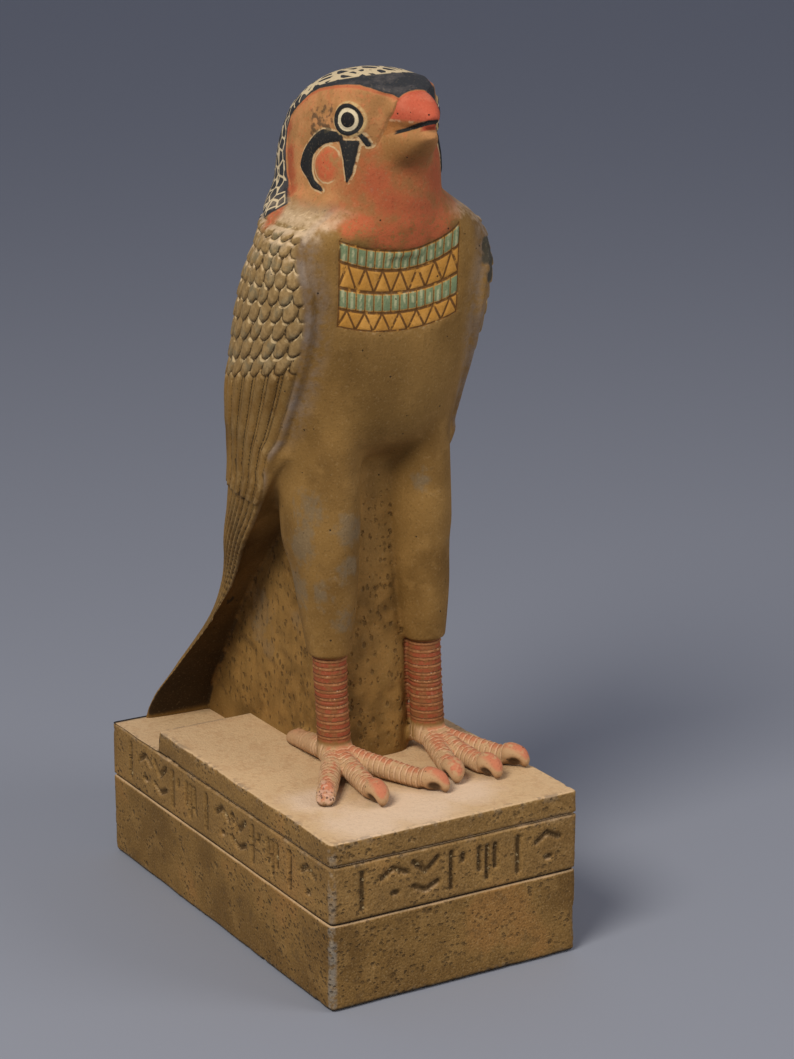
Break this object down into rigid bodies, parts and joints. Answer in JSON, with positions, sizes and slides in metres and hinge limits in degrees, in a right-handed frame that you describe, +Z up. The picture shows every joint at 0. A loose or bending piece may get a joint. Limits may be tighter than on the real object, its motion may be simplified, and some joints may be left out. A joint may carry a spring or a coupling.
{
  "type": "horus falcon figure",
  "caption": "Painted stone figure of a standing falcon on a stepped rectangular plinth, with folded scaled wings, banded collar and incised marks.",
  "frame": {"origin": "middle of the plinth's underside", "axes": "+Z up, the falcon faces -Y, +X is the falcon's left"},
  "size_m": [0.1, 0.17, 0.3083],
  "materials": {
    "stone": "matte, aged, with worn paint"
  },
  "bodies": {
    "root": {"horus_falcon": "stone"}
  },
  "joints": []
}
